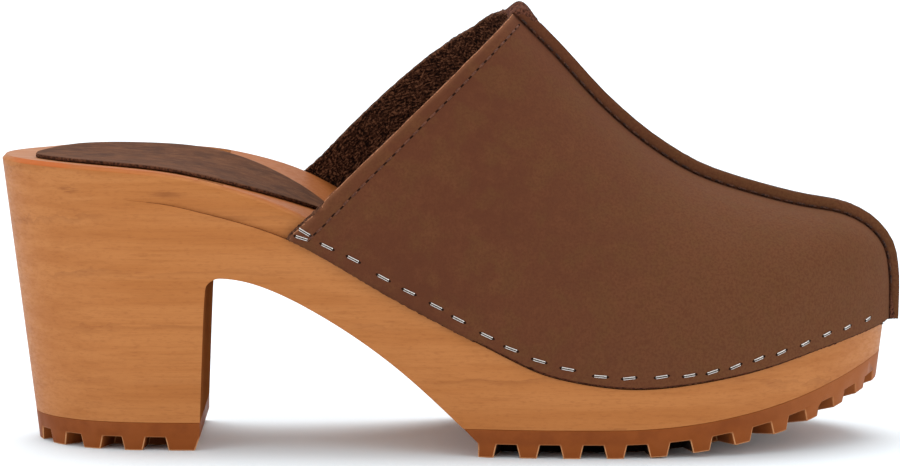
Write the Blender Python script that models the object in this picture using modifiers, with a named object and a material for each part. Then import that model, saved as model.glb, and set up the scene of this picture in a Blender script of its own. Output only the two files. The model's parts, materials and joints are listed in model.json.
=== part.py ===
"""A wooden-soled clog for the right foot: a carved block, a hollow leather upper, rubber soles and staples.

The shoe stands on its lugs with the toe towards +X and the outer (lateral) side towards -Y.
Lengths are millimetres in the tables and functions, and metres in the meshes.
"""

import math
from collections import namedtuple

import bmesh
import bpy
import numpy as np
from mathutils import Matrix, Vector

MM = 0.001
LATERAL, MEDIAL = -1, 1

# Driving dimensions
LENGTH = 250.0  # back of the heel to the front of the toe seam
BALL_WIDTH = 92.0  # the block across the ball of the foot
HEEL_HEIGHT = 79.0  # floor to the edge of the heel seat
INSTEP_HEIGHT = 117.7  # floor to the inside of the upper at the top of its collar

# Walls and clearances
GAP = 0.3  # between pieces that meet
LEATHER = 2.2  # the upper's wall
SEAM_HEIGHT = 3.4  # the raised seam above the wall
SEAM_TOE_SHARE = 0.78  # of that height at the toe
SEAM_WIDTH = 4.4  # two edges of leather side by side
SEAM_STEP = 0.1  # run of the seam's sides
PROUD_SIDE = 1.2  # the upper outside the block's edge, along the sides
PROUD_TOE = 1.4  # the same at the tip of the toe
UPPER_WALL = 8.0  # height of leather that lies against the block
LEDGE_RISE = 0.1  # slope of the rebate's floor
REBATE_START = 40.0  # the rebate starts here on the heel's side, from the back of the shoe
REBATE_RUN = 26.0  # and has its full depth after this
REBATE_EASE = 0.5  # below 1 it starts quickly
EDGE_ROUND = 1.2  # rounding of the bed's edge
PAD_THICKNESS = 0.9  # the insole pad
PAD_BLUNT = 0.25  # taken off its pointed ends

# Block, heel and rubber
RUBBER = 7.5  # outsoles with their lugs
LUG_HEIGHT = 3.7
BREAST = 57.2  # front face of the heel, from the back of the shoe
BREAST_ROUND = 4.8  # corner between the heel's front face and the arch
BACK_TAPER = 10.0  # the heel's back leans in by this at the floor
BREAST_TAPER = 1.2  # so does its front face
TOE_TAPER = 4.2  # and the block's toe
SIDE_TAPER = 0.06  # share of the heel's width lost at the floor
TAPER_END = 125.0  # station where the side taper has faded out
FORE_START = 128.7  # back end of the forefoot rubber
FORE_BACK_LEAN = 3.9  # its back face leans forward by this
HEEL_LUG_LEAN = 1.6  # the front heel lug's face leans back by this
SPRING_START = 170.0  # the toe spring is an arc from here
SPRING_RADIUS = 180.0

# Lugs: notches are cut square to the edge at an even pitch
FORE_LUG_PITCH = 11.9
HEEL_LUG_PITCH = 15.1  # along the edge above the taper
NOTCH_FLOOR = 7.5  # width of a notch at the floor
NOTCH_CEILING = 5.7
NOTCH_TAPER = 0.85  # width at a notch's inner end, as a share
FORE_NOTCH_DEPTH = 13.0
HEEL_NOTCH_DEPTH = 11.0
FORE_FIRST_NOTCH = 11.7  # from the back end of the rubber, along its edge
HEEL_FIRST_NOTCH = 14.0  # from the heel's front corners
SLOT_WIDTH = 6.0  # cross slots in the middle of the tread
FORE_SLOTS = (158.0, 172.0, 186.0, 200.0, 214.0)
HEEL_SLOTS = (33.0, 45.0)
SLOT_MARGIN = 19.0  # tread left at each end of a slot

# Staples
STAPLE_WIDTH = 3.4
STAPLE_WIRE = 0.5  # radius

# Tables: stations and heights are percent of LENGTH and HEEL_HEIGHT, widths percent of BALL_WIDTH
EdgePoint = namedtuple("EdgePoint", "along across")
HEEL_POINT = EdgePoint(-0.1, 0.0)
TOE_POINT = EdgePoint(98.7, 4.4)
LATERAL_EDGE = (
    EdgePoint(3.6, -21.2),
    EdgePoint(13.0, -33.7),
    EdgePoint(32.0, -35.9),
    EdgePoint(50.0, -45.1),
    EdgePoint(63.0, -49.6),
    EdgePoint(76.0, -47.6),
    EdgePoint(86.0, -38.0),
    EdgePoint(94.0, -20.5),
)
MEDIAL_EDGE = (
    EdgePoint(3.6, 21.2),
    EdgePoint(13.0, 33.7),
    EdgePoint(30.0, 33.2),
    EdgePoint(45.0, 36.4),
    EdgePoint(58.0, 43.5),
    EdgePoint(70.0, 48.9),
    EdgePoint(80.0, 49.2),
    EdgePoint(89.0, 41.5),
    EdgePoint(95.3, 26.5),
)
PAD_EDGE = (
    EdgePoint(3.9, -8.0),
    EdgePoint(5.4, -15.5),
    EdgePoint(9.2, -22.8),
    EdgePoint(17.5, -28.2),
    EdgePoint(25.0, -27.2),
    EdgePoint(31.5, -20.0),
    EdgePoint(36.5, -8.5),
    EdgePoint(36.5, -2.0),
    EdgePoint(32.5, 9.0),
    EdgePoint(27.0, 19.5),
    EdgePoint(20.5, 26.9),
    EdgePoint(11.8, 26.6),
    EdgePoint(6.9, 18.0),
    EdgePoint(4.5, 5.0),
)

# Staples on each side: percent of the way from the collar's corner to the toe's tip,
# and millimetres above the upper's lower edge. They were set by hand, so neither is even.
StapleSpot = namedtuple("StapleSpot", "along lift")
STAPLES = (
    StapleSpot(2.2, 1.9),
    StapleSpot(2.2, 3.7),
    StapleSpot(5.9, 3.1),
    StapleSpot(9.9, 3.8),
    StapleSpot(14.8, 3.7),
    StapleSpot(19.0, 3.8),
    StapleSpot(23.4, 3.8),
    StapleSpot(27.1, 3.4),
    StapleSpot(31.8, 2.9),
    StapleSpot(35.7, 2.7),
    StapleSpot(40.2, 3.3),
    StapleSpot(45.2, 3.2),
    StapleSpot(50.6, 2.8),
    StapleSpot(55.4, 3.1),
    StapleSpot(60.9, 3.2),
    StapleSpot(65.5, 2.6),
    StapleSpot(69.3, 2.5),
    StapleSpot(73.1, 2.8),
    StapleSpot(77.1, 3.3),
    StapleSpot(80.9, 3.1),
    StapleSpot(84.9, 3.2),
    StapleSpot(88.6, 3.6),
    StapleSpot(92.1, 3.4),
    StapleSpot(95.8, 3.3),
)

# The block along its length: the bed's edges, the rebate's floor on both sides, and the bed's hollow
BlockSection = namedtuple("BlockSection", "along rim_lateral rim_medial ledge_lateral ledge_medial hollow")
BLOCK = (
    BlockSection(0.0, 99.2, 99.2, 88.5, 88.5, 0.0),
    BlockSection(4.5, 98.8, 99.1, 88.5, 88.8, 0.5),
    BlockSection(8.0, 98.4, 99.6, 88.5, 89.2, 0.9),
    BlockSection(17.5, 96.3, 99.0, 87.0, 89.2, 1.3),
    BlockSection(23.5, 92.5, 97.6, 82.8, 87.4, 1.3),
    BlockSection(31.5, 84.2, 91.8, 75.2, 83.0, 1.2),
    BlockSection(44.5, 62.5, 68.5, 53.2, 59.2, 1.2),
    BlockSection(55.0, 46.0, 48.7, 36.6, 39.2, 1.5),
    BlockSection(61.0, 37.5, 38.8, 28.0, 29.2, 1.8),
    BlockSection(70.5, 33.5, 33.8, 23.8, 24.1, 2.0),
    BlockSection(81.0, 37.0, 37.0, 27.5, 27.5, 1.8),
    BlockSection(92.0, 45.5, 45.5, 36.0, 36.0, 1.2),
    BlockSection(98.7, 50.5, 50.5, 40.8, 40.8, 0.0),
)
ArchPoint = namedtuple("ArchPoint", "station height")
ARCH = (
    ArchPoint(BREAST + BREAST_ROUND, 47.9),
    ArchPoint(68.0, 47.3),
    ArchPoint(79.0, 43.3),
    ArchPoint(90.0, 37.6),
    ArchPoint(101.0, 30.8),
    ArchPoint(112.0, 22.7),
    ArchPoint(123.0, 13.0),
    ArchPoint(128.3, RUBBER + GAP),
)

# The upper's inside, a row for each section from the collar to the toe.
# The feet and the crest are percent of LENGTH, the crest's height is percent of INSTEP_HEIGHT.
# A higher lead rounds the section forward in plan, as the toe needs.
UpperSection = namedtuple(
    "UpperSection", "order foot_lateral foot_medial crest height fullness lead swell"
)
UPPER = (
    UpperSection(0, 32.0, 30.8, 56.4, 99.7, 1.95, 1.0, 2.75),
    UpperSection(1, 38.0, 37.2, 60.9, 90.0, 1.95, 1.0, 2.15),
    UpperSection(2, 45.2, 44.8, 66.2, 77.7, 2.0, 1.0, 1.4),
    UpperSection(3, 53.2, 52.8, 71.8, 67.6, 2.05, 1.0, 0.8),
    UpperSection(4, 62.0, 62.0, 77.5, 60.4, 2.15, 1.0, 0.3),
    UpperSection(5, 71.2, 71.2, 83.3, 56.2, 2.25, 1.0, 0.0),
    UpperSection(6, 80.4, 80.8, 89.0, 53.1, 2.3, 1.1, 0.0),
    UpperSection(7, 87.6, 88.4, 93.4, 51.4, 2.3, 1.4, 0.0),
    UpperSection(8, 92.4, 93.2, 96.5, 47.9, 2.2, 1.8, 0.0),
    UpperSection(9, 95.2, 95.8, 98.0, 43.1, 2.1, 2.0, 0.0),
    UpperSection(10, 96.8, 97.2, 98.4, 35.5, 2.0, 2.0, 0.0),
    UpperSection(11, 97.7, 97.9, 98.4, 27.8, 2.0, 2.0, 0.0),
)
SWELL_SKEW = 1.5  # the medial side swells out most above its middle
SWELL_BREADTH = 0.6  # below 1 the swell keeps up towards the seam
CREST_ACROSS_COLLAR = 0.0  # the seam's plane, from the collar's top
CREST_ACROSS_TOE = 4.0  # to the tip of the toe

# How finely the forms are faceted
UPPER_ROWS = 34
ARCH_STEPS = 9
WALL_STEPS = 2
BED_STEPS = 8
PAD_STEPS = 6
SPLINE_STEPS = 40
END_EASE = 6.0  # length over which the edge turns square to the shoe at its back and tip
END_STEPS = 8

BROWN_LEATHER = (0.142, 0.053, 0.026)
PAD_LEATHER = (0.160, 0.080, 0.046)
OILED_ALDER = (0.500, 0.200, 0.062)
GUM_RUBBER = (0.300, 0.090, 0.020)
STEEL_WIRE = (0.620, 0.620, 0.600)


def smooth(rows, column, at):
    """A table's column at one place of its first column, by a cubic that never overshoots the rows."""
    places = np.array([row[0] for row in rows], float)
    values = np.array([getattr(row, column) for row in rows], float)
    steps = np.diff(places)
    slopes = np.diff(values) / steps
    tangents = np.concatenate([slopes[:1], np.zeros(len(slopes) - 1), slopes[-1:]])
    for i in range(1, len(slopes)):
        if slopes[i - 1] * slopes[i] > 0:
            tangents[i] = 2 * slopes[i - 1] * slopes[i] / (slopes[i - 1] + slopes[i])
    at = min(max(at, places[0]), places[-1])
    i = min(int(np.searchsorted(places, at, side="right")) - 1, len(steps) - 1)
    t = (at - places[i]) / steps[i]
    start = (1 + 2 * t) * (1 - t) ** 2 * values[i] + t * (1 - t) ** 2 * steps[i] * tangents[i]
    end = t * t * (3 - 2 * t) * values[i + 1] + t * t * (t - 1) * steps[i] * tangents[i + 1]
    return float(start + end)


def closed_spline(points):
    """A dense closed curve through plan points, as an array of (station, across) in millimetres."""
    corners = np.array([(p.along * LENGTH, p.across * BALL_WIDTH) for p in points]) / 100
    count = len(corners)
    t = np.linspace(0, 1, SPLINE_STEPS, endpoint=False)[:, None]
    spans = []
    for i in range(count):
        a, b, c, d = (corners[(i + k) % count] for k in (-1, 0, 1, 2))
        tangent_b, tangent_c = (c - a) / 2, (d - b) / 2
        spans.append(
            (2 * t**3 - 3 * t**2 + 1) * b
            + (t**3 - 2 * t**2 + t) * tangent_b
            + (3 * t**2 - 2 * t**3) * c
            + (t**3 - t**2) * tangent_c
        )
    return np.concatenate(spans)


def half_edges():
    """The block's lateral and medial edges, each from the heel's back to the tip of the toe."""
    loop = closed_spline((HEEL_POINT, *LATERAL_EDGE, TOE_POINT, *reversed(MEDIAL_EDGE)))
    loop = np.roll(loop, -int(np.argmin(loop[:, 0])), axis=0)
    tip = int(np.argmax(loop[:, 0]))
    medial = np.concatenate([loop[tip:], loop[:1]])[::-1]
    return {LATERAL: loop[: tip + 1], MEDIAL: medial}


EDGES = half_edges()
BACK, TIP = EDGES[LATERAL][0], EDGES[LATERAL][-1]


def edge_point(side, station):
    """The plan point of the block's edge at a station, and its outward direction."""
    edge = EDGES[side]
    place = float(np.interp(station, edge[:, 0], np.arange(len(edge))))
    index = min(int(place), len(edge) - 2)
    point = edge[index] + (place - index) * (edge[index + 1] - edge[index])
    around = np.clip([index - 1, index + 2], 0, len(edge) - 1)
    run = edge[around[1]] - edge[around[0]]
    outward = np.array([-run[1], run[0]]) * side / np.linalg.norm(run)
    ends = ((BACK, -1.0), (TIP, 1.0))
    near_end = [(np.linalg.norm(point - end) / END_EASE, sign) for end, sign in ends]
    share, sign = min(near_end)
    outward = np.array([sign, 0.0]) + min(share, 1.0) * (outward - np.array([sign, 0.0]))
    return point, outward / np.linalg.norm(outward)


def side_name(side):
    return "lateral" if side == LATERAL else "medial"


def rim(side, station):
    return smooth(BLOCK, "rim_" + side_name(side), 100 * station / LENGTH) * HEEL_HEIGHT / 100


def ledge(side, station):
    return smooth(BLOCK, "ledge_" + side_name(side), 100 * station / LENGTH) * HEEL_HEIGHT / 100


def proud(station):
    """How far the upper's outer face stands outside the block's edge."""
    share = np.clip((station - 0.86 * LENGTH) / (TIP[0] - 0.86 * LENGTH), 0, 1)
    return PROUD_SIDE + (PROUD_TOE - PROUD_SIDE) * share


def rebate(station):
    """Depth of the step that takes the upper's edge. It runs out to nothing on the heel."""
    share = min(max((station - REBATE_START) / REBATE_RUN, 0.0), 1.0) ** REBATE_EASE
    return (LEATHER + GAP - proud(station)) * share


def toe_spring(station):
    return max(station - SPRING_START, 0.0) ** 2 / (2 * SPRING_RADIUS)


def underside(station):
    """Height of the block's lower face: heel, rounded corner, arch, then forefoot with its toe spring."""
    if station <= BREAST:
        return RUBBER + GAP
    if station < ARCH[0].station:
        run = ARCH[0].station - station
        return ARCH[0].height - BREAST_ROUND + math.sqrt(max(BREAST_ROUND**2 - run**2, 0.0))
    if station < ARCH[-1].station:
        return smooth(ARCH, "height", station)
    return RUBBER + GAP + toe_spring(station)


def tapered(station, across, height):
    """Leans the block in towards the floor: the heel's back, its front face and sides, and the toe."""
    drop = 1 - height / HEEL_HEIGHT
    back = max(1 - station / BREAST, 0.0)
    front = station / BREAST if station <= BREAST else 0.0
    toe = max(station / TIP[0] - 0.88, 0.0) / 0.12
    fade = np.clip((TAPER_END - station) / (TAPER_END - BREAST), 0, 1)
    toe_drop = max(1 - height / ledge(LATERAL, TIP[0]), 0.0)
    shift = (BACK_TAPER * back - BREAST_TAPER * front) * drop - TOE_TAPER * toe * toe_drop
    return station + shift, across * (1 - SIDE_TAPER * drop * fade), height


def bed_edge(side, station):
    """The inner end of the bed's rounded edge, as a plan point and a height."""
    point, outward = edge_point(side, station)
    return point - (rebate(station) + EDGE_ROUND) * outward, rim(side, station) + EDGE_ROUND


def bed_point(station, share):
    """A point of the foot bed, from its lateral edge at share 0 to its medial edge at share 1."""
    (near, near_height), (far, far_height) = bed_edge(LATERAL, station), bed_edge(MEDIAL, station)
    plan = near + share * (far - near)
    hollow = smooth(BLOCK, "hollow", 100 * station / LENGTH) * 4 * share * (1 - share)
    return plan[0], plan[1], near_height + share * (far_height - near_height) - hollow


def bed_height(station, across):
    """Height of the foot bed at a plan point."""
    near, far = bed_edge(LATERAL, station)[0][1], bed_edge(MEDIAL, station)[0][1]
    return bed_point(station, (across - near) / (far - near))[2]


def rounded_stations(start, end, round_start, round_end, pitch):
    """Stations at an even pitch, closing up like a cosine at an end that is round in plan."""
    turn = [1 - math.cos(math.pi / 2 * i / END_STEPS) for i in range(END_STEPS)]
    first, last = start + round_start, end - round_end
    count = max(round((last - first) / pitch), 1)
    head = [start + round_start * t for t in turn] if round_start else []
    body = [first + (last - first) * i / count for i in range(count + 1)]
    tail = [end - round_end * t for t in reversed(turn)] if round_end else []
    return head + body + tail


def loft(name, sections, cap_start=False, cap_end=False):
    """A closed solid through sections with the same number of points. An uncapped end closes on itself."""
    form = bmesh.new()
    rings = [[form.verts.new(Vector(p) * MM) for p in section] for section in sections]
    for ring, following in zip(rings, rings[1:]):
        for i in range(len(ring)):
            j = (i + 1) % len(ring)
            form.faces.new((ring[i], ring[j], following[j], following[i]))
    if cap_start:
        form.faces.new(list(reversed(rings[0])))
    if cap_end:
        form.faces.new(rings[-1])
    bmesh.ops.remove_doubles(form, verts=form.verts, dist=0.01 * MM)
    bmesh.ops.dissolve_degenerate(form, edges=form.edges, dist=0.005 * MM)
    bmesh.ops.recalc_face_normals(form, faces=form.faces)
    mesh = bpy.data.meshes.new(name)
    form.to_mesh(mesh)
    form.free()
    return mesh


def sheet(name, rows):
    """An open surface through rows of points, with the mesh's vertices in row order."""
    mesh = bpy.data.meshes.new(name)
    width = len(rows[0])
    faces = [
        (r * width + c, (r + 1) * width + c, (r + 1) * width + c + 1, r * width + c + 1)
        for r in range(len(rows) - 1)
        for c in range(width - 1)
    ]
    mesh.from_pydata([Vector(p) * MM for row in rows for p in row], [], faces)
    return mesh


def block_section(station):
    """One section of the block: up the lateral side, across the bed and down the medial side."""
    sides = {}
    for side in (LATERAL, MEDIAL):
        point, outward = edge_point(side, station)
        inner = point - rebate(station) * outward
        bed, bed_z = bed_edge(side, station)
        floor = ledge(side, station)
        sides[side] = [
            tapered(*point, underside(station)),
            tapered(*point, floor),
            tapered(*inner, floor + LEDGE_RISE),
            tapered(*inner, rim(side, station)),
            tapered(*bed, bed_z),
        ]
    across = [tapered(*bed_point(station, i / BED_STEPS)) for i in range(1, BED_STEPS)]
    return sides[LATERAL] + across + sides[MEDIAL][::-1]


def make_block():
    """The wooden block. Two close stations make the heel's upright front face."""
    corner = [BREAST + BREAST_ROUND * (1 - math.cos(math.pi / 2 * i / 5)) for i in range(6)]
    stations = rounded_stations(BACK[0], BREAST - 0.05, 26.0, 0.0, 7.6)
    stations += corner + rounded_stations(68.0, TIP[0], 0.0, 24.0, 6.6)
    return loft("sole_block", [block_section(s) for s in stations])


def rubber_section(station, root_shift=0.0, floor_shift=0.0):
    """One section of an outsole, with a ring at the lugs' roots. The shifts lean an end face."""
    lift = toe_spring(station)
    points = []
    for side, order in ((LATERAL, 1), (MEDIAL, -1)):
        point, _ = edge_point(side, station)
        levels = ((RUBBER, 0.0), (LUG_HEIGHT, root_shift), (0.0, floor_shift))[::order]
        points += [tapered(point[0] + shift, point[1], z + lift) for z, shift in levels]
    return points


def edge_walk(side, start, end):
    """The block's edge between two stations as an array of plan points, with the length walked at each."""
    edge = EDGES[side]
    part = edge[(edge[:, 0] >= start) & (edge[:, 0] <= end)]
    lengths = np.concatenate([[0], np.cumsum(np.linalg.norm(np.diff(part, axis=0), axis=1))])
    return part, lengths


def notch_frame(station, side):
    point, outward = edge_point(side, station)
    point = np.array(tapered(*point, LUG_HEIGHT)[:2])
    return point, outward, np.array([-outward[1], outward[0]])


def prism(form, corner_rows):
    """Adds a six-sided block to a mesh, from its four lower and four upper corners."""
    lower, upper = ([form.verts.new(Vector(p) * MM) for p in row] for row in corner_rows)
    form.faces.new(lower[::-1])
    form.faces.new(upper)
    for i in range(4):
        j = (i + 1) % 4
        form.faces.new((lower[i], lower[j], upper[j], upper[i]))


def add_notch(form, side, station, depth):
    """A notch between two lugs, square to the edge, wide at the floor and narrow at its ceiling."""
    point, outward, along = notch_frame(station, side)
    below = 1.0
    flare = (NOTCH_FLOOR - NOTCH_CEILING) / LUG_HEIGHT
    rows = []
    for height in (-below, LUG_HEIGHT):
        half = (NOTCH_CEILING + flare * (LUG_HEIGHT - height)) / 2
        ends = ((3.0, half), (-depth, half * NOTCH_TAPER))
        corners = [point + reach * outward + sign * w * along for reach, w in ends for sign in (-1, 1)]
        corners = [corners[i] for i in (0, 1, 3, 2)]
        rows.append([(c[0], c[1], height + toe_spring(c[0])) for c in corners])
    prism(form, rows)


def add_slot(form, station):
    """A cross slot in the middle of the tread."""
    half = SLOT_WIDTH / 2
    rows = []
    for height in (-1.0, LUG_HEIGHT):
        corners = []
        for side, order in ((LATERAL, (-1, 1)), (MEDIAL, (1, -1))):
            point, _ = edge_point(side, station)
            across = point[1] - side * SLOT_MARGIN
            corners += [(station + sign * half, across) for sign in order]
        rows.append([(x, y, height + toe_spring(x)) for x, y in corners])
    prism(form, rows)


def notch_stations(side, start, end, first, pitch, backwards):
    """Stations of the notches along one edge, at an even pitch. Half a lug is left at the far end."""
    part, lengths = edge_walk(side, start, end)
    places = np.arange(first, lengths[-1] - pitch / 2, pitch)
    if backwards:
        places = lengths[-1] - places
    return [float(np.interp(place, lengths, part[:, 0])) for place in places]


def make_cutter(name, build, collection):
    """A hidden cutting form. The build function fills its mesh."""
    form = bmesh.new()
    build(form)
    bmesh.ops.recalc_face_normals(form, faces=form.faces)
    mesh = bpy.data.meshes.new(name)
    form.to_mesh(mesh)
    form.free()
    cutter = bpy.data.objects.new(name, mesh)
    cutter.hide_render = True
    cutter.display_type = "WIRE"
    collection.objects.link(cutter)
    return cutter


def cut_fore_lugs(form):
    for side in (LATERAL, MEDIAL):
        for station in notch_stations(side, FORE_START, TIP[0], FORE_FIRST_NOTCH, FORE_LUG_PITCH, False):
            add_notch(form, side, station, FORE_NOTCH_DEPTH)


def cut_heel_lugs(form):
    for side in (LATERAL, MEDIAL):
        for station in notch_stations(side, BACK[0], BREAST, HEEL_FIRST_NOTCH, HEEL_LUG_PITCH, True):
            add_notch(form, side, station, HEEL_NOTCH_DEPTH)


def cut_slots(stations):
    def build(form):
        for station in stations:
            add_slot(form, station)

    return build


def make_forefoot():
    """The forefoot rubber. Its back face leans, so that it follows the arch."""
    stations = rounded_stations(FORE_START, TIP[0], 0.0, 24.0, 6.8)
    back = rubber_section(stations[0], FORE_BACK_LEAN, FORE_BACK_LEAN)
    return loft("outsole_forefoot", [back, *map(rubber_section, stations[1:])], cap_start=True)


def make_heel():
    """The heel's top lift, with its front lugs leaning back."""
    stations = rounded_stations(BACK[0], BREAST, 26.0, 0.0, 7.6)
    front = rubber_section(stations[-1], 0.0, -HEEL_LUG_LEAN)
    return loft("outsole_heel", [*map(rubber_section, stations[:-1]), front], cap_end=True)


def crest_across(station):
    """The seam lies in one upright plane, from the collar's top to the toe."""
    start = UPPER[0].crest * LENGTH / 100
    share = (station - start) / (TIP[0] - start)
    return CREST_ACROSS_COLLAR + share * (CREST_ACROSS_TOE - CREST_ACROSS_COLLAR)


def upper_foot(side, station, height=0.0):
    """A point of the upper's inside where it lies against the block."""
    point, outward = edge_point(side, station)
    plan = point + (proud(station) - LEATHER) * outward
    return np.array([plan[0], plan[1], ledge(side, station) + LEDGE_RISE + GAP + height])


def upper_half(order, side):
    """One half of a section of the upper's inside, from its foot to the seam's edge."""
    row = {name: smooth(UPPER, name, order) for name in UpperSection._fields[1:]}
    foot_station = row["foot_" + side_name(side)] * LENGTH / 100
    crest_station = row["crest"] * LENGTH / 100
    foot = upper_foot(side, foot_station)
    crest_height = row["height"] * INSTEP_HEIGHT / 100
    rise = crest_height - foot[2]
    wall_share = min(UPPER_WALL, 0.3 * max(rise, 0.0)) / max(rise, 1.0)
    points = []
    for i in range(WALL_STEPS):
        share = wall_share * i / WALL_STEPS
        station = foot_station + share * (crest_station - foot_station)
        point = upper_foot(side, station)
        point[2] = foot[2] + share * rise
        points.append(point)
    spring_station = foot_station + wall_share * (crest_station - foot_station)
    spring = upper_foot(side, spring_station)
    spring[2] = foot[2] + wall_share * rise
    middle = crest_across(crest_station)
    power = 2 / row["fullness"]
    reach = abs(spring[1] - middle)
    last = math.acos(min((SEAM_WIDTH / 2 / reach) ** (1 / power), 1.0))
    for i in range(ARCH_STEPS + 1):
        angle = last * i / ARCH_STEPS
        up, out = math.sin(angle) ** power, math.cos(angle) ** power
        x = spring[0] + (crest_station - spring[0]) * up ** row["lead"]
        z = spring[2] + (crest_height - spring[2]) * up
        if side == MEDIAL:
            bulge = row["swell"] * max(math.sin(math.pi * up**SWELL_SKEW), 0.0) ** SWELL_BREADTH
            x, z = x - bulge, z + bulge
        points.append(np.array([x, middle + (spring[1] - middle) * out, z]))
    return points


def upper_row(order):
    """A whole section of the upper's inside. The middle points carry the raised seam."""
    near, far = upper_half(order, LATERAL), upper_half(order, MEDIAL)
    edge = SEAM_STEP / SEAM_WIDTH
    middle = [near[-1] + share * (far[-1] - near[-1]) for share in (edge, 0.5, 1 - edge)]
    return near + middle + far[::-1]


def make_upper():
    """The upper: an open surface over the last, given its wall outwards and a thicker strip at the seam."""
    rows = [upper_row((UPPER[-1].order) * i / UPPER_ROWS) for i in range(UPPER_ROWS + 1)]
    upper = bpy.data.objects.new("upper", sheet("upper", rows))
    width = len(rows[0])
    seam = upper.vertex_groups.new(name="raised_seam")
    middle = (width // 2 - 1, width // 2, width // 2 + 1)
    for r in range(len(rows)):
        seam.add([r * width + c for c in middle], 1 - (1 - SEAM_TOE_SHARE) * (r / UPPER_ROWS) ** 3, "REPLACE")
    wall = upper.modifiers.new("wall", "SOLIDIFY")
    wall.thickness = (LEATHER + SEAM_HEIGHT) * MM
    wall.offset = 1.0
    wall.vertex_group = seam.name
    wall.thickness_vertex_group = LEATHER / (LEATHER + SEAM_HEIGHT)
    return upper


def make_pad():
    """The heel sock: a leather sheet that follows the bed."""
    loop = closed_spline(PAD_EDGE)
    loop = np.roll(loop, -int(np.argmin(loop[:, 0])), axis=0)
    front = int(np.argmax(loop[:, 0]))
    near, far = loop[: front + 1], np.concatenate([loop[front:], loop[:1]])[::-1]
    first, last = loop[0, 0] + PAD_BLUNT, loop[front, 0] - PAD_BLUNT
    rows = []
    for station in rounded_stations(first, last, 12.0, 10.0, 7.0):
        y0, y1 = (np.interp(station, edge[:, 0], edge[:, 1]) for edge in (near, far))
        across = [y0 + (y1 - y0) * i / PAD_STEPS for i in range(PAD_STEPS + 1)]
        rows.append([(station, y, bed_height(station, y) + GAP) for y in across])
    pad = bpy.data.objects.new("insole_pad", sheet("insole_pad", rows))
    wall = pad.modifiers.new("thickness", "SOLIDIFY")
    wall.thickness = PAD_THICKNESS * MM
    wall.offset = 1.0
    return pad


def staple_points(side):
    """Where one side's staples sit: points on the upper's outside and the direction of its lower edge."""
    start = UPPER[0][1 if side == LATERAL else 2] * LENGTH / 100
    line = []
    for station in np.linspace(start, TIP[0], 400):
        point, outward = edge_point(side, station)
        clear = proud(station) + GAP + STAPLE_WIRE
        line.append([*(point + clear * outward), upper_foot(side, station)[2]])
    line = np.array(line)
    ways = 100 * (line[:, 0] - line[0, 0]) / (line[-1, 0] - line[0, 0])
    for spot in STAPLES:
        behind, place, ahead = (
            np.array([np.interp(spot.along + step, ways, line[:, k]) for k in range(3)])
            for step in (-0.5, 0, 0.5)
        )
        along = (ahead - behind) / np.linalg.norm(ahead - behind)
        square = np.array([0, 0, 1]) - along[2] * along
        yield place + spot.lift * square / np.linalg.norm(square), along


def make_staple(name, point, along):
    """A staple's crown: a short wire that lies along the upper's lower edge."""
    bpy.ops.mesh.primitive_cylinder_add(
        vertices=8, radius=STAPLE_WIRE * MM, depth=STAPLE_WIDTH * MM, end_fill_type="TRIFAN"
    )
    staple = bpy.context.object
    staple.name = staple.data.name = name
    turn = Vector(along).to_track_quat("Z", "X").to_matrix().to_4x4()
    staple.matrix_world = Matrix.Translation(Vector(point) * MM) @ turn
    return staple


def material(name, colour, roughness, metallic=0.0):
    finish = bpy.data.materials.new(name)
    finish.use_nodes = True
    shader = finish.node_tree.nodes["Principled BSDF"]
    shader.inputs["Base Color"].default_value = (*colour, 1.0)
    shader.inputs["Roughness"].default_value = roughness
    shader.inputs["Metallic"].default_value = metallic
    return finish


def add_cut(target, cutter):
    cut = target.modifiers.new(cutter.name, "BOOLEAN")
    cut.operation = "DIFFERENCE"
    cut.object = cutter


def smooth_shaded(mesh):
    mesh.shade_smooth()
    mesh.set_sharp_from_angle(angle=math.radians(35))


def new_collection(name):
    collection = bpy.data.collections.new(name)
    bpy.context.scene.collection.children.link(collection)
    return collection


def centre_on_floor(parts, carrier):
    """Moves the carrier so that the shoe's box stands on the floor, centred over the origin."""
    bpy.context.view_layer.update()
    graph = bpy.context.evaluated_depsgraph_get()
    corners = []
    for part in parts:
        shape = part.evaluated_get(graph)
        corners += [shape.matrix_world @ Vector(corner) for corner in shape.bound_box]
    low = Vector(min(c[i] for c in corners) for i in range(3))
    high = Vector(max(c[i] for c in corners) for i in range(3))
    carrier.location = (-(low.x + high.x) / 2, -(low.y + high.y) / 2, -low.z)


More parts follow.
